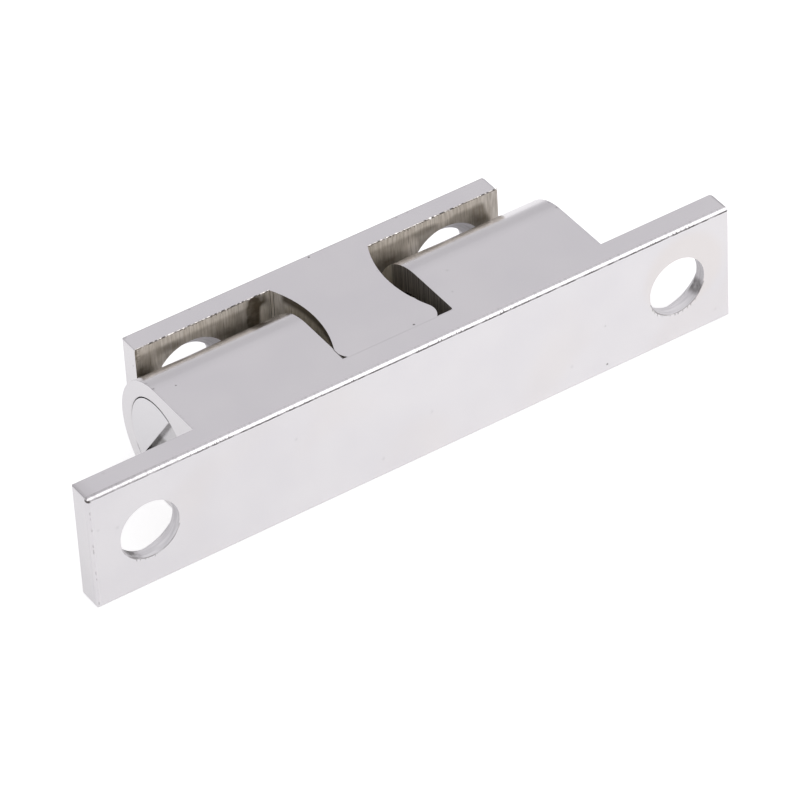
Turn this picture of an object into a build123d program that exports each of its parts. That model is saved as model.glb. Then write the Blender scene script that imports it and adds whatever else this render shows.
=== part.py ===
from build123d import *
from math import cos, pi, sin, sqrt
import os

# Double ball catch for a cupboard door, closed: the strike's waisted tongue
# stands in the slot between two barrels, and a sprung ball in each barrel
# presses into the tongue's waist.
# Millimetres. X runs along the catch, Y away from the case's mounting face
# towards the strike, Z up across the width. The origin is the middle of the
# case's mounting face, and the catch lies on its long edges.

os.makedirs("parts", exist_ok=True)

# Bar stock that the two brass pieces are cut from
case_width = 8.0
strike_width = 7.3

# Case: mounting plate
plate_length = 43.0
plate_thickness = 1.7
plate_screw_inset = 3.7
plate_screw_hole = 3.8
plate_screw_head = 5.7
mounting_edge_round = 0.3
plate_back_round = 0.12
plate_left_rounds = (0.2, 0.12)
plate_right_rounds = (0.2, 0.5)
plate_corner_round = 0.2

# Case: the ridge that holds both barrels
ball_line = 5.65
ridge_length = 27.4
slot_width = 7.35
slot_floor = 1.8
slot_corner_round = 0.15

# Bore of each barrel, from its outer end to the lip at the slot
bore_diameter = 4.9
lip_opening = 4.55
lip_thickness = 0.4
thread_diameter = 6.0
thread_depth = 4.7
thread_lead_in = 0.05

# Balls
ball_diameter = 4.76
ball_flank_gap = 0.06

# Springs, their round wire drawn six-sided to keep them light
spring_wire = 0.42
spring_outside = 4.3
spring_turns = 4.0
spring_closed_turns = 0.8
spring_closed_pitch = 0.44
spring_ground = 0.12
spring_end_gap = 0.03
spring_ease = 0.25
spring_points_a_turn = 9
spring_wire_sides = 6

# Tension screws
thread_running_gap = 0.06
tension_screw_length = 2.63
tension_screw_recess = 0.01
tension_screw_chamfer = 0.03
tension_slot_width = 1.0
tension_slot_depth = 0.6
tension_slot_turns = {"left": 54.0, "right": 18.0}

# Strike: plate
strike_length = 24.6
strike_thickness = 1.4
strike_ridge_gap = 0.17
strike_screw_inset = 3.6
strike_screw_hole = 3.6
strike_screw_head = 5.1
strike_back_round = 0.12
strike_left_rounds = (0, 0.12)
strike_right_rounds = (0, 0.45)
strike_corner_round = 0.2

# Strike: how far to the left it stands in its play between the balls
strike_shift = -0.18

# Strike: tongue
waist_width = 5.1
tongue_tip_gap = 0.03
flank_radius = 7.7
waist_lead = 0.75
tip_corner_round = 1.05

# Each piece on the left is its right-hand twin, turned half round about Y
half_turns = {"right": 0, "left": 180}

# Worked out from the sizes above
ridge_radius = case_width / 2
ridge_crown = ball_line + ridge_radius
plate_back = plate_thickness
plate_screw_x = plate_length / 2 - plate_screw_inset
ridge_end = ridge_length / 2
slot_wall = slot_width / 2
ball_radius = ball_diameter / 2
strike_front = ridge_crown + strike_ridge_gap
strike_back = strike_front + strike_thickness
strike_screw_x = strike_length / 2 - strike_screw_inset
tongue_tip = slot_floor + tongue_tip_gap
waist_line = ball_line + waist_lead
flank_centre_x = waist_width / 2 + flank_radius
ball_path_radius = flank_radius - ball_radius - ball_flank_gap
ball_reach = flank_centre_x - sqrt(ball_path_radius**2 - waist_lead**2)
screw_outer_end = ridge_end - tension_screw_recess
screw_inner_end = screw_outer_end - tension_screw_length
screw_diameter = thread_diameter - 2 * thread_running_gap
spring_mean_radius = (spring_outside - spring_wire) / 2
wire_radius = spring_wire / 2
spring_seat_rise = sqrt((ball_radius + wire_radius) ** 2 - spring_mean_radius**2)
spring_outer_end = screw_inner_end - spring_end_gap


def bar(outline, width):
    """An outline in the XY plane, cut from stock of this width across its full width."""
    return Pos(0, 0, -width / 2) * extrude(outline, width)


def rounded_plate(length, width, front, back, edge_rounds, left_rounds, right_rounds, corner_round):
    """A plate between two values of Y, rounded along its long edges and down both its ends.

    Each of the rounds is a pair, at its front and at its back. The corner round is the one
    that shows face on.
    """
    thickness = back - front
    middle = (front + back) / 2
    section = Pos(middle, 0) * Rectangle(thickness, width)
    for size, pick in zip(edge_rounds, (0, -1)):
        if size:
            section = fillet(section.vertices().group_by(Axis.X)[pick], size)
    outline = Pos(0, middle) * Rectangle(length, thickness)
    for rounds, end in ((left_rounds, 0), (right_rounds, -1)):
        for size, pick in zip(rounds, (0, -1)):
            if size:
                corner = outline.vertices().group_by(Axis.X)[end].sort_by(Axis.Y)[pick]
                outline = fillet(corner, size)
    strip = Pos(-length / 2, 0, 0) * extrude(Plane.YZ * section, length)
    face = Plane.XZ * RectangleRounded(length, width, corner_round)
    return strip & bar(outline, width) & extrude(face, 2 * back, both=True)


def ridge_section():
    """Section across the barrels: straight flanks, full round at the crown."""
    root = plate_thickness / 2
    sides = Pos((root + ball_line) / 2, 0) * Rectangle(ball_line - root, case_width)
    crown = Pos(ball_line, 0) * Circle(ridge_radius)
    return Plane.YZ * (sides + crown)


def along_x(start, end, radius):
    """A round bar on the ball line from one X to another."""
    height = end - start
    middle = (start + end) / 2
    return Pos(middle, ball_line, 0) * Rot(0, 90, 0) * Cylinder(radius, height)


def cone_along_x(start, end, start_radius, end_radius):
    """A cone on the ball line, from start to a larger X."""
    height = end - start
    middle = (start + end) / 2
    return Pos(middle, ball_line, 0) * Rot(0, 90, 0) * Cone(start_radius, end_radius, height)


def countersunk_hole(x, face, facing, depth, hole, head):
    """A screw hole through a plate whose head seats in the face at Y = face.

    facing is +1 where that face looks along +Y, and -1 where it looks along -Y.
    """
    sink = (head - hole) / 2
    drill_length = 2 * depth
    drill = Pos(x, face - facing * depth / 2, 0) * Rot(90, 0, 0) * Cylinder(hole / 2, drill_length)
    cone = Pos(0, 0, -sink / 2) * Cone(hole / 2, head / 2, sink)
    seat = Pos(x, face, 0) * Rot(-90 * facing, 0, 0) * cone
    return drill + seat


def make_case():
    """The case: the plate, the ridge with its slot, and a bore from each end."""
    case = rounded_plate(
        plate_length,
        case_width,
        0,
        plate_back,
        (mounting_edge_round, plate_back_round),
        plate_left_rounds,
        plate_right_rounds,
        plate_corner_round,
    )
    case += Pos(-ridge_end, 0, 0) * extrude(ridge_section(), ridge_length)

    slot_depth = ridge_crown - slot_floor
    slot = Pos(0, slot_floor + slot_depth / 2) * Rectangle(slot_width, slot_depth)
    slot = fillet(slot.vertices().group_by(Axis.Y)[0], slot_corner_round)
    case -= bar(slot, case_width)

    barrel = along_x(slot_wall, ridge_end, lip_opening / 2)
    barrel += along_x(slot_wall + lip_thickness, ridge_end, bore_diameter / 2)
    barrel += along_x(ridge_end - thread_depth, ridge_end, thread_diameter / 2)
    barrel += cone_along_x(
        ridge_end - thread_lead_in,
        ridge_end,
        thread_diameter / 2,
        thread_diameter / 2 + thread_lead_in,
    )
    screw_hole = countersunk_hole(
        plate_screw_x,
        plate_back,
        1,
        plate_thickness,
        plate_screw_hole,
        plate_screw_head,
    )
    for turn in half_turns.values():
        case -= Rot(0, turn, 0) * barrel
        case -= Rot(0, turn, 0) * screw_hole
    return case


def make_strike():
    """The strike: a plate and its tongue, sawn from one bar, with two screw holes."""
    corner_y = tongue_tip + tip_corner_round
    centre_gap = flank_radius + tip_corner_round
    corner_x = flank_centre_x - sqrt(centre_gap**2 - (waist_line - corner_y) ** 2)
    flank_centre = Vector(flank_centre_x, waist_line)
    corner_centre = Vector(corner_x, corner_y)
    towards_flank = (flank_centre - corner_centre).normalized()
    flank_end = corner_centre + towards_flank * tip_corner_round
    root_x = flank_centre_x - sqrt(flank_radius**2 - (strike_front - waist_line) ** 2)
    widest = (corner_x + tip_corner_round, corner_y)

    root = Line((0, strike_front), (root_x, strike_front))
    flank = ThreePointArc(
        (root_x, strike_front), (waist_width / 2, waist_line), (flank_end.X, flank_end.Y)
    )
    shoulder = RadiusArc((flank_end.X, flank_end.Y), widest, tip_corner_round)
    corner = RadiusArc(widest, (corner_x, tongue_tip), tip_corner_round)
    tip = Line((corner_x, tongue_tip), (0, tongue_tip))
    middle = Line((0, tongue_tip), (0, strike_front))
    half_tongue = make_face(root + flank + shoulder + corner + tip + middle)
    tongue = bar(half_tongue + mirror(half_tongue, Plane.YZ), strike_width)

    strike = tongue + rounded_plate(
        strike_length,
        strike_width,
        strike_front,
        strike_back,
        (0, strike_back_round),
        strike_left_rounds,
        strike_right_rounds,
        strike_corner_round,
    )
    screw_hole = countersunk_hole(
        strike_screw_x,
        strike_front,
        -1,
        strike_thickness,
        strike_screw_hole,
        strike_screw_head,
    )
    for turn in half_turns.values():
        strike -= Rot(0, turn, 0) * screw_hole
    return Pos(strike_shift, 0, 0) * strike


def make_ball(ball_x):
    """A ball on the right of the tongue, pressed against its flank."""
    return Pos(ball_x, ball_line, 0) * Sphere(ball_radius)


def ramp(turn, blend):
    """Zero before turn 0 and rising one to one after it, eased over the blend."""
    if turn <= -blend:
        return 0.0
    if turn >= blend:
        return turn
    return (turn + blend) ** 2 / (4 * blend)


def make_spring(ball_x):
    """A spring on the right: a coil with closed, ground ends, from its ball to its screw."""
    spring_inner_end = ball_x + spring_seat_rise - spring_ground + spring_end_gap
    rise = spring_outer_end - spring_inner_end - spring_wire + 2 * spring_ground
    open_turns = spring_turns - 2 * spring_closed_turns
    extra = (rise - spring_closed_pitch * spring_turns) / open_turns
    points = []
    for step in range(round(spring_turns * spring_points_a_turn) + 1):
        turn = step / spring_points_a_turn
        opened = ramp(turn - spring_closed_turns, spring_ease)
        closed = ramp(turn - spring_turns + spring_closed_turns, spring_ease)
        height = spring_closed_pitch * turn + extra * (opened - closed)
        angle = 2 * pi * turn
        points.append(
            (
                spring_inner_end - spring_ground + wire_radius + height,
                ball_line + spring_mean_radius * cos(angle),
                spring_mean_radius * sin(angle),
            )
        )
    path = Spline(points)
    section = Plane(origin=path @ 0, z_dir=path % 0) * RegularPolygon(wire_radius, spring_wire_sides)
    wire = sweep(section, path=path, is_frenet=True)
    ground = along_x(spring_inner_end, spring_outer_end, spring_outside)
    return wire & ground


def make_tension_screw(slot_turn):
    """A tension screw on the right: headless, with a slot across its outer end."""
    screw = along_x(screw_inner_end, screw_outer_end, screw_diameter / 2)
    screw = chamfer(screw.edges(), tension_screw_chamfer)
    slot = Box(2 * tension_slot_depth, thread_diameter, tension_slot_width)
    place = Pos(screw_outer_end, ball_line, 0) * Rot(slot_turn, 0, 0)
    return screw - place * slot


export_step(make_case(), "parts/case.step")
export_step(make_strike(), "parts/strike.step")
for name, turn in half_turns.items():
    shift = strike_shift if name == "right" else -strike_shift
    ball_x = ball_reach + shift
    inside = {
        "ball": make_ball(ball_x),
        "spring": make_spring(ball_x),
        "tension_screw": make_tension_screw(tension_slot_turns[name]),
    }
    for piece, solid in inside.items():
        export_step(Rot(0, turn, 0) * solid, f"parts/{piece}_{name}.step")
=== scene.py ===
import math
import random

import bmesh
import bpy
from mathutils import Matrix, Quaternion, Vector


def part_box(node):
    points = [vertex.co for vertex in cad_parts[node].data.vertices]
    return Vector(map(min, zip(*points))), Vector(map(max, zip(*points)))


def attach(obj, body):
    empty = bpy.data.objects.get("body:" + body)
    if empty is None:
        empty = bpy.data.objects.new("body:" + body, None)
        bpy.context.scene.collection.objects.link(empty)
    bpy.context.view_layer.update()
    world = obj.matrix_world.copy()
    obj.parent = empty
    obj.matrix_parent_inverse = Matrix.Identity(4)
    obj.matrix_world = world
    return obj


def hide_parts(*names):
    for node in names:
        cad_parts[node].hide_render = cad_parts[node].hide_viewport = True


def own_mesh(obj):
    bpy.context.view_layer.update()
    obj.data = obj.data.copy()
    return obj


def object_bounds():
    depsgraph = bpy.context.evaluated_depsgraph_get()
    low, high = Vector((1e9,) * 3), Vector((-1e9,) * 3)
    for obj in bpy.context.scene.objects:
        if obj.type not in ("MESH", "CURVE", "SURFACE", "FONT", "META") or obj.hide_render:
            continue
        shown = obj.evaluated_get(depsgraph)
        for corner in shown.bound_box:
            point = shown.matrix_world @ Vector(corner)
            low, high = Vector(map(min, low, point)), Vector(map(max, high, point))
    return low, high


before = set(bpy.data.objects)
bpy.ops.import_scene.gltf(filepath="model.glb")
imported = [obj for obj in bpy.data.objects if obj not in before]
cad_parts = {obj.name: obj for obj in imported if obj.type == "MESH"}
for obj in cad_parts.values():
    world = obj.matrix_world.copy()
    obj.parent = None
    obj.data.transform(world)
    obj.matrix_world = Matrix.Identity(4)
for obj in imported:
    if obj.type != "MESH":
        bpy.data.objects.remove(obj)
cad_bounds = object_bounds()
mm = 0.001

# Case
# One length of brass bar with a full round crown. A cutter run across it left the mounting plate
# at each end and the slot between the barrels, and its marks show there. It is nickel plated all
# over: bright on the drawn faces, thinner and browner where it was cut.
case_low, case_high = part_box("case")
half_width = case_high.z
ball_line = case_high.y - half_width
slot_wall = 3.675 * mm
plate_back = 1.7 * mm
ridge_end = 13.7 * mm
plate_hole_x = 17.8 * mm
screw_hole_radius = 1.9 * mm
screw_head_radius = 2.85 * mm
thread_radius = 3.0 * mm
mounting_edge_round = 0.3 * mm
# Where a painted reflection, a dark line, runs below the top edge's highlight.
painted_reflection_below_top = 0.2 * mm
mask_margin = 0.02 * mm
hole_patches = [(-18.95, -1.5, 0.75, 0.6, 0.8), (19.4, -1.0, 0.6, 0.6, 0.75)]

bright_plate = (0.79, 0.775, 0.785, 1)
cloudy_plate = (0.765, 0.75, 0.765, 1)
cut_plate = (0.88, 0.835, 0.75, 1)
cut_plate_shade = (0.62, 0.575, 0.49, 1)
scored_plate = (0.16, 0.14, 0.11, 1)
drilled_plate = (0.88, 0.87, 0.88, 1)
drilled_plate_shade = (0.72, 0.71, 0.72, 1)
# The colour of dark specks and soil on the plating, which also serves for painted shade.
soil_and_shade_plate = (0.10, 0.09, 0.085, 1)
stained_plate = (0.76, 0.70, 0.65, 1)
drawn_roughness = 0.2
drawn_depth = 0.0008 * mm
worked_depth = 0.0022 * mm


def add(tree, kind, inputs, **settings):
    """A shader node. Each of its inputs is a value to set or a socket to join."""
    node = tree.nodes.new("ShaderNode" + kind)
    for name, value in settings.items():
        setattr(node, name, value)
    for name, value in inputs.items():
        if isinstance(value, bpy.types.NodeSocket):
            tree.links.new(value, node.inputs[name])
        else:
            node.inputs[name].default_value = value
    return node


def calc(tree, operation, first, second=0.0, third=0.0):
    """The result of one sum on values or sockets."""
    inputs = {0: first, 1: second, 2: third}
    return add(tree, "Math", inputs, operation=operation).outputs[0]


def both(tree, *masks):
    """Where every one of these masks holds, or a mask weakened by a share."""
    result = masks[0]
    for mask in masks[1:]:
        result = calc(tree, "MULTIPLY", result, mask)
    return result


def most(tree, *masks):
    """The strongest of these masks."""
    result = masks[0]
    for mask in masks[1:]:
        result = calc(tree, "MAXIMUM", result, mask)
    return result


def over(tree, value, limit):
    """1 where a value is above its limit."""
    return calc(tree, "GREATER_THAN", value, limit)


def under(tree, value, limit):
    """1 where a value is below its limit."""
    return calc(tree, "LESS_THAN", value, limit)


def size_of(tree, value):
    """A value without its sign."""
    return calc(tree, "ABSOLUTE", value)


def place_of(tree, *values):
    """The place that two or three values give."""
    return add(tree, "CombineXYZ", dict(enumerate(values))).outputs[0]


def length_of(tree, *values):
    """How far that place is from zero."""
    place = place_of(tree, *values)
    return add(tree, "VectorMath", {0: place}, operation="LENGTH").outputs["Value"]


def ease(tree, value, low, high):
    """0 below low and 1 above high, and the other way round where low is the larger."""
    inputs = {"Value": value, "From Min": low, "From Max": high}
    return add(tree, "MapRange", inputs, interpolation_type="SMOOTHSTEP").outputs[0]


def noise(tree, place, per_metre, detail=2.0):
    """Noise from 0 to 1, along one value or over a vector."""
    inputs = {"Scale": per_metre, "Detail": detail}
    if place.type == "VALUE":
        return add(tree, "TexNoise", {"W": place, **inputs}, noise_dimensions="1D").outputs["Fac"]
    return add(tree, "TexNoise", {"Vector": place, **inputs}).outputs["Fac"]


def stretch(tree, place, factors):
    """A place scaled by its own factor along each axis."""
    return add(tree, "VectorMath", {0: place, 1: factors}, operation="MULTIPLY").outputs[0]


def blend_colours(tree, share, first, second):
    """One colour over another by a share from 0 to 1."""
    return add(tree, "Mix", {"Factor": share, 6: first, 7: second}, data_type="RGBA").outputs[2]


def new_group(name, inputs, outputs):
    """A shader node group with its own ends. inputs gives each one's type; outputs are values."""
    group = bpy.data.node_groups.new(name, "ShaderNodeTree")
    for socket, kind in inputs.items():
        group.interface.new_socket(socket, in_out="INPUT", socket_type="NodeSocket" + kind)
    for socket in outputs:
        group.interface.new_socket(socket, in_out="OUTPUT", socket_type="NodeSocketFloat")
    given = group.nodes.new("NodeGroupInput").outputs
    made = group.nodes.new("NodeGroupOutput").inputs
    return group, given, made


def tool_marks_group():
    """Fine lines that a tool leaves, and deeper scores among them, along the stretched axis."""
    group, given, made = new_group(
        "tool marks", {"Place": "Vector", "Per metre": "Float"}, ["Lines", "Scores"]
    )
    fine = noise(group, given["Place"], given["Per metre"], 3.0)
    group.links.new(ease(group, fine, 0.28, 0.72), made["Lines"])
    scores = noise(group, given["Place"], calc(group, "MULTIPLY", given["Per metre"], 0.6), 1.0)
    group.links.new(ease(group, scores, 0.66, 0.76), made["Scores"])
    return group


def plating_group():
    """Cloudy tone, dark specks and faint drawing lines of a plated face."""
    group, given, made = new_group("plating", {"Place": "Vector"}, ["Cloud", "Specks", "Drawing"])
    cloud = noise(group, given["Place"], 260.0, 3.0)
    group.links.new(ease(group, cloud, 0.3, 0.7), made["Cloud"])
    cells = add(group, "TexVoronoi", {"Vector": given["Place"], "Scale": 600.0})
    chosen = add(group, "SeparateColor", {0: cells.outputs["Color"]}).outputs[0]
    from_speck = cells.outputs["Distance"]
    dark = both(group, over(group, chosen, 0.5), ease(group, from_speck, 0.06, 0.03))
    faint = both(group, under(group, chosen, 0.5), ease(group, from_speck, 0.09, 0.04), 0.1)
    group.links.new(most(group, dark, faint), made["Specks"])
    drawn = noise(group, stretch(group, given["Place"], (0.02, 1, 1)), 14000.0, 3.0)
    group.links.new(drawn, made["Drawing"])
    return group


def ragged_edge_group():
    """A dark line at an edge, broken and toothed, and the nicks that cross the edge."""
    group, given, made = new_group(
        "ragged edge", {"Distance": "Float", "Along": "Float", "Width": "Float"}, ["Line", "Nicks"]
    )
    along, width = given["Along"], given["Width"]
    tooth_height = 3.2
    wander = calc(group, "SUBTRACT", noise(group, along, 2400.0, 3.0), 0.5)
    offset = calc(group, "MULTIPLY_ADD", wander, width, given["Distance"])
    share = calc(group, "DIVIDE", offset, width)
    uneven = ease(group, noise(group, along, 1300.0), 0.3, 0.6)
    weight = calc(group, "MULTIPLY_ADD", uneven, 0.65, 0.35)
    line = both(group, ease(group, size_of(group, share), 1.0, 0.4), weight)
    crowded = ease(group, noise(group, along, 260.0, 1.0), 0.4, 0.6)
    teeth = ease(group, noise(group, along, 9000.0, 1.0), 0.5, 0.7)
    teeth = both(group, teeth, crowded, tooth_height)
    below_top = ease(group, calc(group, "SUBTRACT", teeth, share), 0.0, 0.6)
    above = ease(group, share, -0.2, 0.4)
    toothed = both(group, below_top, above, 0.8)
    group.links.new(most(group, line, toothed), made["Line"])
    spikes = ease(group, noise(group, along, 2300.0, 1.0), 0.745, 0.765)
    group.links.new(both(group, spikes, above, ease(group, share, 4.0, 3.0)), made["Nicks"])
    return group


tool_marks = tool_marks_group()
plating = plating_group()
ragged_edge = ragged_edge_group()


def spots(tree, across, up, places):
    """Soft ovals. Each place is its centre, its half width and height in mm, and its share."""
    total = 0.0
    for middle, height, half_across, half_up, share in places:
        far = calc(tree, "MULTIPLY_ADD", across, 1 / (half_across * mm), -middle / half_across)
        high = calc(tree, "MULTIPLY_ADD", up, 1 / (half_up * mm), -height / half_up)
        inside = ease(tree, length_of(tree, far, high), 1.2, 0.3)
        total = calc(tree, "MULTIPLY_ADD", inside, share, total)
    return total


def from_holes(tree, x, z, middle, hole_x):
    """The distance from the nearer screw hole's axis."""
    across = size_of(tree, calc(tree, "SUBTRACT", x, middle))
    return length_of(tree, calc(tree, "SUBTRACT", across, hole_x), z)


def plated_brass(name, holes, cut_faces, darkening, dark_colour, stained=None):
    """Nickel plate on brass, dull on the faces that cut_faces picks out.

    holes are the middle of its two screw holes, how far each is from there, and the radius of
    their countersinks. The two arguments after cut_faces say where it is darkened, by soil and by
    painted shade, and with what colour; stained says where it has a warm tint.
    """
    material = bpy.data.materials.new(name)
    material.use_nodes = True
    tree = material.node_tree
    where = add(tree, "TexCoord", {})
    place = where.outputs["Object"]
    x, y, z = add(tree, "SeparateXYZ", {0: place}).outputs
    facing = add(tree, "SeparateXYZ", {0: where.outputs["Normal"]}).outputs

    finish = add(tree, "Group", {}, node_tree=plating)
    tree.links.new(place, finish.inputs["Place"])
    bright = blend_colours(tree, finish.outputs["Cloud"], bright_plate, cloudy_plate)
    if stained:
        bright = blend_colours(tree, stained(tree, x, y, z), bright, stained_plate)
    bright = blend_colours(tree, both(tree, finish.outputs["Specks"], 0.75), bright, soil_and_shade_plate)

    cut = cut_faces(tree, x, y, z, facing)
    marks = add(tree, "Group", {"Per metre": 9500.0}, node_tree=tool_marks)
    tree.links.new(stretch(tree, place, (1, 1, 0.1)), marks.inputs["Place"])
    dull = blend_colours(tree, marks.outputs["Lines"], cut_plate_shade, cut_plate)
    dull = blend_colours(tree, both(tree, marks.outputs["Scores"], 0.5), dull, scored_plate)
    colour = blend_colours(tree, cut, bright, dull)

    middle, hole_x, head_radius = holes
    from_axis = from_holes(tree, x, z, middle, hole_x)
    in_head = under(tree, from_axis, head_radius + mask_margin)
    drilled = both(tree, in_head, under(tree, size_of(tree, facing[1]), 0.9))
    turned = add(tree, "Group", {"Per metre": 7000.0}, node_tree=tool_marks)
    around = {0: place, 1: (0.1, 0, 0.1), 2: place_of(tree, from_axis, y)}
    around = add(tree, "VectorMath", around, operation="MULTIPLY_ADD").outputs[0]
    tree.links.new(around, turned.inputs["Place"])
    wall = blend_colours(tree, turned.outputs["Lines"], drilled_plate_shade, drilled_plate)
    wall = blend_colours(tree, both(tree, turned.outputs["Scores"], 0.2), wall, scored_plate)
    colour = blend_colours(tree, drilled, colour, wall)
    # Soil and painted shade, in the dark colour.
    colour = blend_colours(tree, darkening(tree, x, y, z, facing), colour, dark_colour)

    worked = most(tree, cut, drilled)
    lines = {"Factor": drilled, 2: marks.outputs["Lines"], 3: turned.outputs["Lines"]}
    lines = add(tree, "Mix", lines).outputs[0]
    height = {"Factor": worked, 2: finish.outputs["Drawing"], 3: lines}
    height = add(tree, "Mix", height).outputs[0]
    depth = calc(tree, "MULTIPLY_ADD", worked, worked_depth, drawn_depth)
    height = calc(tree, "MULTIPLY", height, depth)
    bump = add(tree, "Bump", {"Height": height, "Distance": 1.0})
    worn = ease(tree, y, 0.42 * mm, 0.2 * mm)
    worn = both(tree, worn, over(tree, facing[1], -0.95), 0.5)
    rough = calc(tree, "MULTIPLY_ADD", most(tree, worked, worn), 0.2, drawn_roughness)
    rough = calc(tree, "MULTIPLY_ADD", drilled, 0.15, rough)
    metal = calc(tree, "MULTIPLY_ADD", cut, -0.3, 1.0)
    metal = calc(tree, "MULTIPLY_ADD", drilled, -0.7, metal)
    shader = tree.nodes["Principled BSDF"]
    tree.links.new(metal, shader.inputs["Metallic"])
    tree.links.new(colour, shader.inputs["Base Color"])
    tree.links.new(rough, shader.inputs["Roughness"])
    tree.links.new(bump.outputs[0], shader.inputs["Normal"])
    return material


def case_cut_faces(tree, x, y, z, facing):
    """The slot's walls and floor, and the back of the plate beyond the barrels."""
    across = size_of(tree, x)
    in_slot = under(tree, across, slot_wall + mask_margin)
    in_slot = both(tree, in_slot, over(tree, y, plate_back + mask_margin))
    beyond = over(tree, across, ridge_end + mask_margin)
    plate = both(tree, beyond, over(tree, facing[1], 0.6))
    upright = under(tree, size_of(tree, facing[2]), 0.6)
    return both(tree, upright, most(tree, in_slot, plate))


def edge_marks(tree, distance, along, width):
    """The ragged edge group's line and nicks, at a distance from an edge."""
    inputs = {"Width": width, "Distance": distance, "Along": along}
    marks = add(tree, "Group", inputs, node_tree=ragged_edge)
    return marks.outputs["Line"], marks.outputs["Nicks"]


def mounting_edge_soil_and_reflection(tree, x, y, z, facing):
    """Nicks, dull spots and dark lines at the mounting face's edges and holes, and a painted
    reflection.
    """
    # Painted reflection: a broken dark line just below the top edge's highlight.
    from_line = calc(tree, "SUBTRACT", z, half_width - painted_reflection_below_top)
    line, nicks = edge_marks(tree, from_line, x, 0.045 * mm)
    paler = calc(tree, "MULTIPLY_ADD", ease(tree, x, -10 * mm, -18 * mm), -0.4, 1.0)
    corner = ease(tree, x, case_low.x + 0.3 * mm, case_low.x + 0.1 * mm)
    corner = both(tree, corner, ease(tree, size_of(tree, from_line), 0.11 * mm, 0.05 * mm))
    on_round = ease(tree, from_line, 0.02 * mm, 0.06 * mm)
    pits = ease(tree, noise(tree, x, 3600.0, 4.0), 0.48, 0.62)
    pits = both(tree, pits, ease(tree, x, -12 * mm, -17 * mm), on_round)
    pits = both(tree, pits, ease(tree, from_line, 0.195 * mm, 0.17 * mm), 0.42)
    dulled = ease(tree, noise(tree, x, 5200.0, 3.0), 0.42, 0.68)
    dulled = calc(tree, "MULTIPLY_ADD", dulled, 0.16, 0.02)
    dulled = calc(tree, "MULTIPLY_ADD", ease(tree, x, -13 * mm, -20 * mm), 0.2, dulled)
    dulled = both(tree, dulled, on_round)
    top = most(tree, both(tree, line, paler), corner, both(tree, nicks, 0.4), pits, dulled)

    from_line = calc(tree, "SUBTRACT", x, case_low.x + 0.1 * mm)
    line, nicks = edge_marks(tree, from_line, z, 0.03 * mm)
    dotted = ease(tree, noise(tree, z, 2600.0, 1.0), 0.5, 0.62)
    side = most(tree, both(tree, line, dotted, 0.4), both(tree, nicks, 0.35))

    from_hole = from_holes(tree, x, z, 0, plate_hole_x)
    from_rim = calc(tree, "SUBTRACT", from_hole, screw_hole_radius + mask_margin)
    line = edge_marks(tree, from_rim, x, 0.07 * mm)[0]
    rim = both(tree, under(tree, z, -0.5 * mm), under(tree, facing[1], -0.5), line, 0.6)
    return both(tree, under(tree, y, mounting_edge_round), most(tree, top, side, rim))


def barrel_end_soil(tree, x, y, facing):
    """Faint broken lines round the barrels' outer ends."""
    from_end = calc(tree, "SUBTRACT", ridge_end, size_of(tree, x))
    line, nicks = edge_marks(tree, from_end, y, 0.045 * mm)
    crown = both(tree, under(tree, size_of(tree, facing[0]), 0.5), over(tree, y, plate_back))
    return both(tree, crown, calc(tree, "ADD", line, nicks), 0.25)


def top_painted_shade(tree, x, y, facing):
    """Painted shade at the rounded ends of the flat top, and painted shadow lines in the slot's
    seams.
    """
    far_in = calc(tree, "SUBTRACT", case_high.x, size_of(tree, x))
    both_ends = both(tree, ease(tree, far_in, 0.3 * mm, 0.1 * mm), 0.22)
    left_end = both(tree, ease(tree, x, case_low.x + 1.0 * mm, case_low.x), 0.12)
    # Painted shade: a faint line along the slot's floor, and a dark line where the gap to the
    # tongue's tip is narrowest.
    floor = calc(tree, "COMPARE", y, 1.75 * mm, 0.06 * mm)
    floor = both(tree, floor, under(tree, size_of(tree, x), slot_wall), 0.07)
    from_wall = size_of(tree, calc(tree, "ADD", x, slot_wall))
    wall = both(tree, ease(tree, from_wall, 0.08 * mm, 0.03 * mm), over(tree, y, 1.8 * mm))
    wall = both(tree, wall, ease(tree, y, 3.0 * mm, 2.6 * mm), 0.85)
    return both(tree, over(tree, facing[2], 0.4), most(tree, both_ends, left_end, floor, wall))


def hollow_shade_and_patches(tree, x, y, z, facing):
    """Painted shade down the right slot wall and in the bores, and darker patches in the screw
    holes.
    """
    # Painted shade on the right slot wall, streaked, and lighter towards its back.
    from_wall = size_of(tree, calc(tree, "SUBTRACT", x, slot_wall))
    wall = both(tree, under(tree, from_wall, mask_margin), under(tree, facing[0], -0.5))
    streaks = calc(tree, "MULTIPLY_ADD", noise(tree, y, 8000.0, 1.0), 0.6, 0.35)
    deeper = calc(tree, "ADD", ease(tree, y, 8.4 * mm, 7.9 * mm), 0.3)
    wall = both(tree, wall, streaks, deeper)

    # Painted shade on the bore's wall round the screw.
    from_line = length_of(tree, calc(tree, "SUBTRACT", y, ball_line), z)
    bored = under(tree, from_line, thread_radius + 0.01 * mm)
    bored = both(tree, bored, under(tree, size_of(tree, facing[0]), 0.9), 0.75)

    in_hole = under(tree, from_holes(tree, x, z, 0, plate_hole_x), screw_hole_radius + mask_margin)
    mottled = ease(tree, noise(tree, place_of(tree, x, y, z), 2500.0), 0.2, 0.6)
    patches = both(tree, in_hole, spots(tree, x, z, hole_patches), mottled)
    return most(tree, wall, bored, patches)


def case_soil_and_shade(tree, x, y, z, facing):
    """Everything that darkens the case's plating: soil, nicks, painted reflection and painted
    shade.
    """
    return most(
        tree,
        mounting_edge_soil_and_reflection(tree, x, y, z, facing),
        barrel_end_soil(tree, x, y, facing),
        top_painted_shade(tree, x, y, facing),
        hollow_shade_and_patches(tree, x, y, z, facing),
    )


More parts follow.
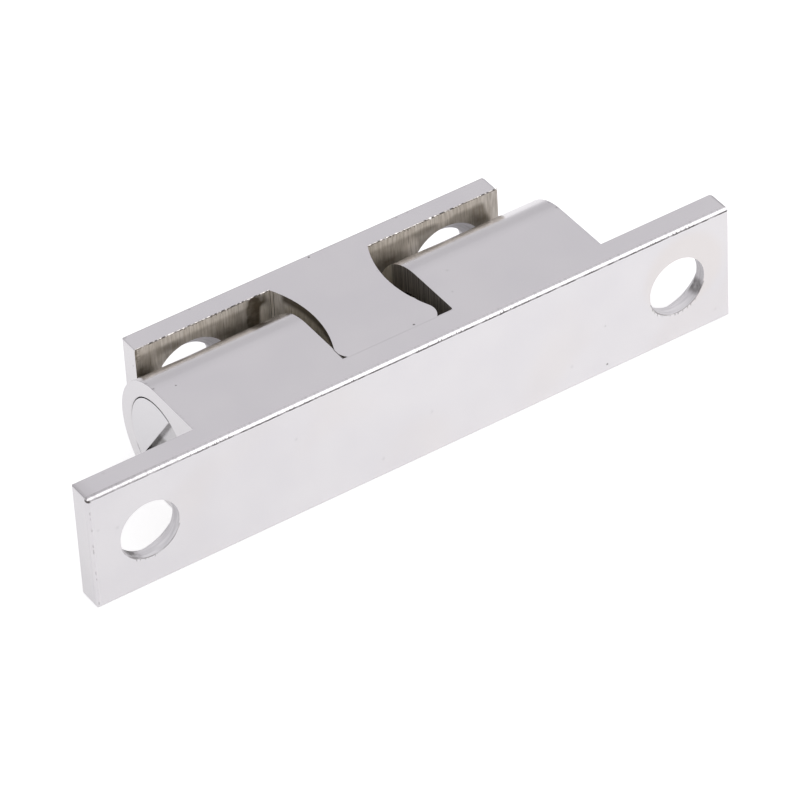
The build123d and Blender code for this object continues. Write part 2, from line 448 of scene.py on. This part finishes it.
def case_stain(tree, x, y, z):
    """A faint warm tint round one screw hole and in patches of the mounting face."""
    across = calc(tree, "SUBTRACT", x, plate_hole_x + 0.5 * mm)
    up = calc(tree, "SUBTRACT", z, 0.8 * mm)
    ring = ease(tree, length_of(tree, across, up), 3.2 * mm, 2.2 * mm)
    patches = ease(tree, noise(tree, place_of(tree, x, z), 160.0, 1.0), 0.5, 0.75)
    tint = most(tree, both(tree, ring, 0.35), both(tree, patches, 0.15))
    return both(tree, under(tree, y, mask_margin), tint)


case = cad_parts["case"]
case.data.materials[0] = plated_brass(
    "plated_case",
    (0, plate_hole_x, screw_head_radius),
    case_cut_faces,
    case_soil_and_shade,
    soil_and_shade_plate,
    case_stain,
)

# Balls
# Two ground and polished steel balls, one behind the lip of each barrel, that press into the
# tongue's waist. Only their inner caps show, inside the slot.


def drawn_steel(name, colour, roughness, grain_factors, grain_share=0.03, unshaded_end=0.0):
    """Bright steel whose fine grain runs along the axis with the smallest of its factors.

    grain_share is how much darker the grain is. Nearer the middle than the end it is given, the
    steel has painted shade, most of all on faces that don't face along X and in the lower half.
    """
    material = bpy.data.materials.new(name)
    material.use_nodes = True
    tree = material.node_tree
    where = add(tree, "TexCoord", {})
    place = where.outputs["Object"]
    marks = add(tree, "Group", {"Per metre": 9000.0}, node_tree=tool_marks)
    tree.links.new(stretch(tree, place, grain_factors), marks.inputs["Place"])
    grain = marks.outputs["Lines"]
    shade = tuple((1 - grain_share) * value for value in colour[:3]) + (1,)
    shader = tree.nodes["Principled BSDF"]
    shader.inputs["Metallic"].default_value = 1
    facing_x = add(tree, "SeparateXYZ", {0: where.outputs["Normal"]}).outputs[0]
    sides = under(tree, size_of(tree, facing_x), 0.5)
    x, y, z = add(tree, "SeparateXYZ", {0: place}).outputs
    # Painted shade: darker in the lower half and on the faces that don't face along X.
    lower = both(tree, ease(tree, z, 0.45 * mm, 0.05 * mm), 0.5)
    darkening = calc(tree, "ADD", calc(tree, "MULTIPLY_ADD", sides, 0.55, 0.22), lower)
    darkening = calc(tree, "MINIMUM", darkening, 1.0)
    darkening = both(tree, darkening, under(tree, size_of(tree, x), unshaded_end))
    tone = blend_colours(tree, grain, shade, colour)
    tone = blend_colours(tree, darkening, tone, soil_and_shade_plate)
    tree.links.new(tone, shader.inputs["Base Color"])
    tree.links.new(calc(tree, "MULTIPLY_ADD", grain, 0.1, roughness), shader.inputs["Roughness"])
    bump = add(tree, "Bump", {"Height": grain, "Distance": 0.0000002})
    tree.links.new(bump.outputs[0], shader.inputs["Normal"])
    return material


ball_steel = drawn_steel("ball_steel", (0.66, 0.66, 0.67, 1), 0.06, (1, 0.1, 1))
for side in ("left", "right"):
    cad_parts["ball_" + side].data.materials[0] = ball_steel

# Springs
# A coil of round steel wire in each barrel, with closed ends ground flat. It pushes its ball
# towards the slot, and shortens as the ball is driven back.
wire_radius = 0.21 * mm
coil_radius = 1.94 * mm
spring_turns = 4.0
closed_turns = 0.8
closed_pitch = 0.44 * mm
ground_off = 0.12 * mm
steps_per_turn = 40
wire_sides = 14
spring_wire = drawn_steel("spring_wire", (0.55, 0.55, 0.56, 1), 0.22, (1, 1, 1))


def mesh_object(name, shape, material, body):
    """A piece made from a bmesh: its finish and the body it rides on."""
    mesh = bpy.data.meshes.new(name)
    bmesh.ops.recalc_face_normals(shape, faces=shape.faces)
    shape.to_mesh(mesh)
    shape.free()
    mesh.shade_smooth()
    mesh.set_sharp_from_angle(angle=math.radians(35))
    mesh.materials.append(material)
    made = bpy.data.objects.new(name, mesh)
    bpy.context.scene.collection.objects.link(made)
    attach(made, body)
    return made


def turned_about_y(point, side):
    """The left-hand twin of a point on the right."""
    return point if side == "right" else Vector((-point.x, point.y, -point.z))


def coil(inner_end, outer_end, side):
    """A round wire wound on the ball line between two values of X, its ends ground flat."""
    shape = bmesh.new()
    rise = outer_end - inner_end - 2 * wire_radius + 2 * ground_off
    open_turns = spring_turns - 2 * closed_turns
    extra = (rise - closed_pitch * spring_turns) / open_turns
    rings = []
    for step in range(round(spring_turns * steps_per_turn) + 1):
        turn = step / steps_per_turn
        opened = min(max(turn - closed_turns, 0), open_turns)
        height = inner_end - ground_off + wire_radius + closed_pitch * turn + extra * opened
        outwards = Vector((0, math.cos(math.tau * turn), math.sin(math.tau * turn)))
        centre = Vector((height, ball_line, 0)) + outwards * coil_radius
        ring = []
        for corner in range(wire_sides):
            angle = math.tau * corner / wire_sides
            point = centre + outwards * wire_radius * math.cos(angle)
            point.x += wire_radius * math.sin(angle)
            point.x = min(max(point.x, inner_end), outer_end)
            ring.append(shape.verts.new(turned_about_y(point, side)))
        rings.append(ring)
    for first, second in zip(rings, rings[1:]):
        for corner in range(wire_sides):
            after = (corner + 1) % wire_sides
            shape.faces.new((first[corner], first[after], second[after], second[corner]))
    shape.faces.new(rings[0])
    shape.faces.new(rings[-1])
    return shape


for side, outwards in (("left", -1), ("right", 1)):
    node = "spring_" + side
    ends = sorted(abs(corner.x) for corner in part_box(node))
    shape = coil(ends[0], ends[1], side)
    spring = mesh_object("coil_" + side, shape, spring_wire, "case")
    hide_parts(node)
    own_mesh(spring)

# Tension screws
# A headless M6 steel screw closes each barrel's outer end and sets how hard its spring presses.
# It is threaded almost to its outer end, where a slot for a screwdriver is sawn across it, and
# sits a little off centre in the play of its thread.
thread_pitch = 1.0 * mm
thread_height = 0.5 * mm
crest_share = 0.12
flank_share = 0.68
plain_end = 0.35 * mm
end_break = 0.02 * mm
slot_width = 1.0 * mm
slot_depth = 0.4 * mm
slot_turns = {"left": 54, "right": 18}
ring_step = 0.1 * mm
ring_sides = 96
screw_play = Vector((0, 0.035 * mm, -0.02 * mm))
screw_face = 13.6 * mm
# Its slot and thread get painted shade; its outer end face has none.
screw_steel = drawn_steel(
    "screw_steel",
    (0.78, 0.77, 0.785, 1),
    roughness=0.17,
    grain_factors=(1, 1, 0.04),
    grain_share=0.01,
    unshaded_end=screw_face,
)


def thread_share(phase):
    """How deep the thread is cut at some share of its pitch: flat crest, flanks, flat root."""
    away = abs(phase % 1 - 0.5) * 2
    return min(max((away - crest_share) / flank_share, 0), 1)


def threaded_bar(inner_end, outer_end, radius):
    """A threaded bar on the ball line, plain at its outer end, with both ends broken."""
    shape = bmesh.new()
    steps = round((outer_end - inner_end) / ring_step)
    places = [inner_end + (outer_end - inner_end) * step / steps for step in range(steps + 1)]
    places[-1:] = [outer_end - end_break, outer_end]
    rings = []
    for place in places:
        cut = min(max((outer_end - plain_end - place) / plain_end, 0), 1) * thread_height
        most = radius - max(0, end_break - (outer_end - place))
        most -= max(0, thread_height - (place - inner_end))
        ring = []
        for corner in range(ring_sides):
            share = corner / ring_sides
            reach = min(radius - cut * thread_share(place / thread_pitch - share), most)
            angle = math.tau * share
            across, up = reach * math.cos(angle), reach * math.sin(angle)
            ring.append(shape.verts.new((place, ball_line + across, up)))
        rings.append(ring)
    for first, second in zip(rings, rings[1:]):
        for corner in range(ring_sides):
            after = (corner + 1) % ring_sides
            shape.faces.new((first[corner], first[after], second[after], second[corner]))
    shape.faces.new(rings[0])
    shape.faces.new(rings[-1])
    return shape


def slot_cutter(outer_end, radius, turn):
    """The saw cut across a screw's end, a little wider at its mouth."""
    half = slot_width / 2
    floor, mouth = outer_end - slot_depth, outer_end - end_break
    past_end, wider = outer_end + slot_depth, half + end_break
    outline = [(floor, -half), (floor, half), (mouth, half), (outer_end, wider)]
    outline += [(past_end, wider), (past_end, -wider), (outer_end, -wider), (mouth, -half)]
    shape = bmesh.new()
    ends = []
    for along in (-2 * radius, 2 * radius):
        ends.append([shape.verts.new((x, along, across)) for x, across in outline])
    for corner in range(len(outline)):
        after = (corner + 1) % len(outline)
        shape.faces.new((ends[0][corner], ends[0][after], ends[1][after], ends[1][corner]))
    shape.faces.new(ends[0])
    shape.faces.new(ends[1])
    turned = Quaternion((1, 0, 0), math.radians(turn)).to_matrix()
    bmesh.ops.rotate(shape, verts=shape.verts, cent=(0, 0, 0), matrix=turned)
    bmesh.ops.translate(shape, verts=shape.verts, vec=(0, ball_line, 0))
    bmesh.ops.recalc_face_normals(shape, faces=shape.faces)
    return shape


def cut_out(shape, cutter):
    """One bmesh with another cut out of it."""
    blanks = []
    for part in (shape, cutter):
        bmesh.ops.recalc_face_normals(part, faces=part.faces)
        mesh = bpy.data.meshes.new("blank")
        part.to_mesh(mesh)
        part.free()
        blank = bpy.data.objects.new("blank", mesh)
        bpy.context.scene.collection.objects.link(blank)
        blanks.append(blank)
    boolean = blanks[0].modifiers.new("slot", "BOOLEAN")
    boolean.operation = "DIFFERENCE"
    boolean.object = blanks[1]
    bpy.context.view_layer.update()
    result = bmesh.new()
    result.from_object(blanks[0], bpy.context.evaluated_depsgraph_get())
    for blank in blanks:
        bpy.data.objects.remove(blank)
    return result


for side in ("left", "right"):
    node = "tension_screw_" + side
    low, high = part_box(node)
    ends = sorted((abs(low.x), abs(high.x)))
    radius = (high.z - low.z) / 2
    shape = threaded_bar(ends[0], ends[1], radius)
    shape = cut_out(shape, slot_cutter(ends[1], radius, slot_turns[side]))
    for vert in shape.verts:
        vert.co = turned_about_y(vert.co, side) + screw_play
    screw = mesh_object("set_screw_" + side, shape, screw_steel, node)
    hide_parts(node)

# Strike
# A narrower length of brass bar, form milled to a plate with a waisted tongue that stands in the
# slot. Its two drawn sides and its back are bright; the cutter left its inner face, its flanks
# and its tip dull and lined, and raised a thin burr along the inner face's upper edge.
strike_low, strike_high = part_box("strike")
strike_middle = (strike_low.x + strike_high.x) / 2
strike_thickness = 1.4 * mm
strike_front = strike_high.y - strike_thickness
strike_hole_x = 8.7 * mm
strike_head_radius = 2.55 * mm
tongue_root = 3.35 * mm
# Spots on the strike's inner face. The strong dark ones by the tongue's left root are a painted
# reflection of the dark gap.
dark_patches_and_painted_reflections = [
    (-12.0, 1.9, 0.7, 0.8, 0.25),
    (-10.1, 2.75, 0.9, 0.35, 0.3),
    (-6.2, 2.0, 1.4, 0.6, 0.2),
    (-4.65, 2.6, 0.5, 1.8, 1.3),
    (-4.1, 3.2, 0.5, 0.45, 0.7),
    (4.3, 2.1, 1.1, 0.7, 0.2),
    (7.0, 2.95, 0.9, 0.35, 0.25),
    (10.8, 2.4, 0.7, 0.9, 0.25),
]
# The light spot at the tongue's root is a painted reflection of its flank, the long one along the
# top a painted highlight.
light_patches_and_painted_light = [
    (-11.0, 1.9, 0.6, 0.7, 0.35),
    (-3.95, 1.9, 0.4, 0.9, 0.7),
    (6.1, 2.1, 0.7, 0.8, 0.4),
    (8.4, 3.1, 0.6, 0.5, 0.3),
    (8.0, 3.5, 4.5, 0.3, 0.25),
]
burr_step = 0.09 * mm
burr_height = 0.1 * mm
burr_usual, burr_spread = 0.08, 0.6
burr_bright = (0.8, 0.77, 0.73, 1)
# The colour of the strike's grime, which also serves for its painted shade.
strike_grime_and_shade = (0.11, 0.088, 0.058, 1)


def strike_cut_faces(tree, x, y, z, facing):
    """The plate's inner face, and the tongue's flanks and tip."""
    inner = under(tree, y, strike_front + mask_margin)
    upright = under(tree, size_of(tree, facing[2]), 0.6)
    return both(tree, inner, upright)


def inner_face_patches_and_shade(tree, x, z):
    """Dull patches and painted reflections on the inner face, painted shade lower down, little at
    its right end.
    """
    # Painted shade: the face is darker lower down.
    low = both(tree, ease(tree, z, 3.25 * mm, 2.9 * mm), 0.42)
    lowest = both(tree, ease(tree, z, 2.4 * mm, 1.8 * mm), 0.2)
    dull = calc(tree, "ADD", low, lowest)
    dull = calc(tree, "ADD", dull, spots(tree, x, z, dark_patches_and_painted_reflections))
    dull = calc(tree, "SUBTRACT", dull, spots(tree, x, z, light_patches_and_painted_light))
    dull = calc(tree, "MINIMUM", most(tree, dull, -0.1), 1.0)
    mottled = noise(tree, place_of(tree, x, z), 1500.0, 3.0)
    mottled = calc(tree, "MULTIPLY_ADD", mottled, 0.8, 0.55)
    off_end = ease(tree, calc(tree, "MULTIPLY_ADD", z, 0.25, x), 12.1 * mm, 11.75 * mm)
    return both(tree, off_end, dull, mottled)


def strike_soil_and_shade(tree, x, y, z, facing):
    """Inner face patches and painted shade, ragged edges, scores, and painted shade on the
    tongue's flank.
    """
    from_top = calc(tree, "SUBTRACT", strike_high.z - 0.04 * mm, z)
    top_line = edge_marks(tree, from_top, x, 0.055 * mm)[0]
    from_left = calc(tree, "SUBTRACT", x, strike_low.x + 0.06 * mm)
    left_line = edge_marks(tree, from_left, z, 0.1 * mm)[0]
    inner = both(tree, under(tree, y, strike_front + mask_margin), under(tree, facing[1], -0.8))
    on_inner = most(tree, inner_face_patches_and_shade(tree, x, z), top_line, both(tree, left_line, 0.75))

    from_back = calc(tree, "SUBTRACT", strike_high.y - 0.1 * mm, y)
    line, nicks = edge_marks(tree, from_back, x, 0.04 * mm)
    back = both(tree, over(tree, facing[2], 0.4), most(tree, line, nicks), 0.18)

    first = calc(tree, "COMPARE", y, 9.76 * mm, 0.025 * mm)
    second = calc(tree, "COMPARE", y, 9.56 * mm, 0.02 * mm)
    scores = both(tree, under(tree, facing[0], -0.6), most(tree, first, second), 0.9)
    # Painted shade along the upper edge of the tongue's flank.
    flank = both(tree, under(tree, facing[0], -0.3), under(tree, size_of(tree, facing[2]), 0.5))
    upper = both(tree, ease(tree, z, 2.9 * mm, 3.35 * mm), ease(tree, y, 9.2 * mm, 8.8 * mm))
    return most(tree, both(tree, inner, on_inner), back, scores, both(tree, flank, upper, 0.9))


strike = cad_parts["strike"]
strike.data.materials[0] = plated_brass(
    "plated_strike",
    (strike_middle, strike_hole_x, strike_head_radius),
    strike_cut_faces,
    strike_soil_and_shade,
    strike_grime_and_shade,
)

shape = bmesh.new()
ragged = random.Random(4)
for side in (-1, 1):
    start = strike_middle + side * tongue_root
    end = strike_middle + side * (strike_high.x - strike_middle)
    steps = round(abs(end - start) / burr_step)
    rows = []
    for step in range(steps + 1):
        x = start + (end - start) * step / steps
        reach = burr_height * max(0.0, ragged.gauss(burr_usual, burr_spread))
        points = (
            (x, strike_front + 0.03 * mm, strike_high.z),
            (x, strike_front - 0.1 * reach, strike_high.z + 0.5 * reach),
            (x, strike_front - 0.7 * reach, strike_high.z - 0.1 * reach),
            (x, strike_front, strike_high.z - 0.05 * mm),
        )
        rows.append([shape.verts.new(point) for point in points])
    for first, second in zip(rows, rows[1:]):
        for corner in range(4):
            after = (corner + 1) % 4
            shape.faces.new((first[corner], first[after], second[after], second[corner]))
    shape.faces.new(rows[0])
    shape.faces.new(rows[-1])
burr_plate = drawn_steel("burr_plate", burr_bright, 0.35, (1, 1, 1))
mesh_object("strike_burr", shape, burr_plate, "strike")

# Table and studio light
# A white table top and a soft surround: brighter above and in front, where a large softbox
# hangs, and a little darker behind, as the flat top faces show it.
table_top = cad_bounds[0].z - 0.01 * mm
lilac = (0.985, 0.965, 1.0, 1)
white = (1, 1, 1, 1)
seen_glow = 0.65
mirrored_glow, mirrored_glow_right = 0.405, 0.09
surround_behind = 0.745
dip_behind, dip_low_right = -0.12, -0.45
surround_before, rise_before = 0.3, 0.65
softbox_way = Vector((0.35, -0.62, 0.70)).normalized()
softbox_distance = 0.8
softbox_size = 0.55
softbox_power = 1.3

bpy.ops.mesh.primitive_plane_add(size=3, location=(0, 0, table_top))
table = bpy.context.object
table.name = "table"
material = bpy.data.materials.new("white_table")
material.use_nodes = True
tree = material.node_tree
shader = tree.nodes["Principled BSDF"]
shader.inputs["Base Color"].default_value = (0.6, 0.6, 0.6, 1)
shader.inputs["Roughness"].default_value = 0.9
shader.inputs["Specular IOR Level"].default_value = 0
rays = add(tree, "LightPath", {})
mirrored = most(tree, rays.outputs["Is Glossy Ray"], rays.outputs["Is Transmission Ray"])
across = add(tree, "SeparateXYZ", {0: add(tree, "TexCoord", {}).outputs["Object"]}).outputs[0]
right = ease(tree, across, -30 * mm, 10 * mm)
dimmer_left = calc(tree, "MULTIPLY_ADD", right, mirrored_glow_right, mirrored_glow)
mirrored = both(tree, mirrored, dimmer_left)
shown = calc(tree, "MULTIPLY_ADD", rays.outputs["Is Camera Ray"], seen_glow, mirrored)
glow = add(tree, "Emission", {"Strength": shown})
sum_of = add(tree, "AddShader", {0: shader.outputs[0], 1: glow.outputs[0]})
tree.links.new(sum_of.outputs[0], tree.nodes["Material Output"].inputs["Surface"])
table.data.materials.append(material)

world = bpy.data.worlds.new("studio")
bpy.context.scene.world = world
world.use_nodes = True
tree = world.node_tree
way = add(tree, "TexCoord", {}).outputs["Generated"]
x, y, z = add(tree, "SeparateXYZ", {0: way}).outputs
dip = both(tree, ease(tree, z, 0.56, 0.38), ease(tree, z, -0.02, 0.2), dip_behind)
behind = calc(tree, "ADD", dip, surround_behind)
low_right = both(tree, ease(tree, x, 0.5, 0.75), ease(tree, z, 0.35, 0.05), dip_low_right)
behind = calc(tree, "ADD", behind, low_right)
before = calc(tree, "MULTIPLY_ADD", ease(tree, z, 0.0, 0.35), rise_before, surround_before)
front_share = ease(tree, y, 0.1, -0.4)
light = add(tree, "Mix", {"Factor": front_share, 2: behind, 3: before}).outputs[0]
rays = add(tree, "LightPath", {})
seen = rays.outputs["Is Camera Ray"]
strength = add(tree, "Mix", {"Factor": seen, 2: light, 3: 1.0}).outputs[0]
background = tree.nodes["Background"]
tree.links.new(strength, background.inputs["Strength"])
tree.links.new(blend_colours(tree, seen, lilac, white), background.inputs["Color"])

lamp = bpy.data.lights.new("key_softbox", "AREA")
lamp.size = softbox_size
lamp.energy = softbox_power
softbox = bpy.data.objects.new("key_softbox", lamp)
bpy.context.scene.collection.objects.link(softbox)
softbox.location = softbox_way * softbox_distance
softbox.rotation_mode = "QUATERNION"
softbox.rotation_quaternion = softbox_way.to_track_quat("Z", "Y")

# Camera
# A long lens from the front left, above the catch, as the product was seen.
camera_azimuth = math.radians(-31.39)
camera_elevation = math.radians(39.90)
camera_roll = math.radians(-3.33)
camera_distance = 327.7 * mm
camera_target = Vector((-1.254 * mm, 0, 0.995 * mm))
focal_pixels = 5851.7
picture_pixels = 800

away = Vector((
    math.sin(camera_azimuth) * math.cos(camera_elevation),
    -math.cos(camera_azimuth) * math.cos(camera_elevation),
    math.sin(camera_elevation),
))
lens = bpy.data.cameras.new("camera")
lens.sensor_width = 36
lens.lens = focal_pixels * lens.sensor_width / picture_pixels
lens.clip_start = 0.01
lens.clip_end = 10
camera = bpy.data.objects.new("camera", lens)
bpy.context.scene.collection.objects.link(camera)
camera.location = camera_target + away * camera_distance
camera.rotation_mode = "QUATERNION"
camera.rotation_quaternion = away.to_track_quat("Z", "Y") @ Quaternion((0, 0, 1), camera_roll)
bpy.context.scene.camera = camera
bpy.context.scene.view_settings.view_transform = "Standard"
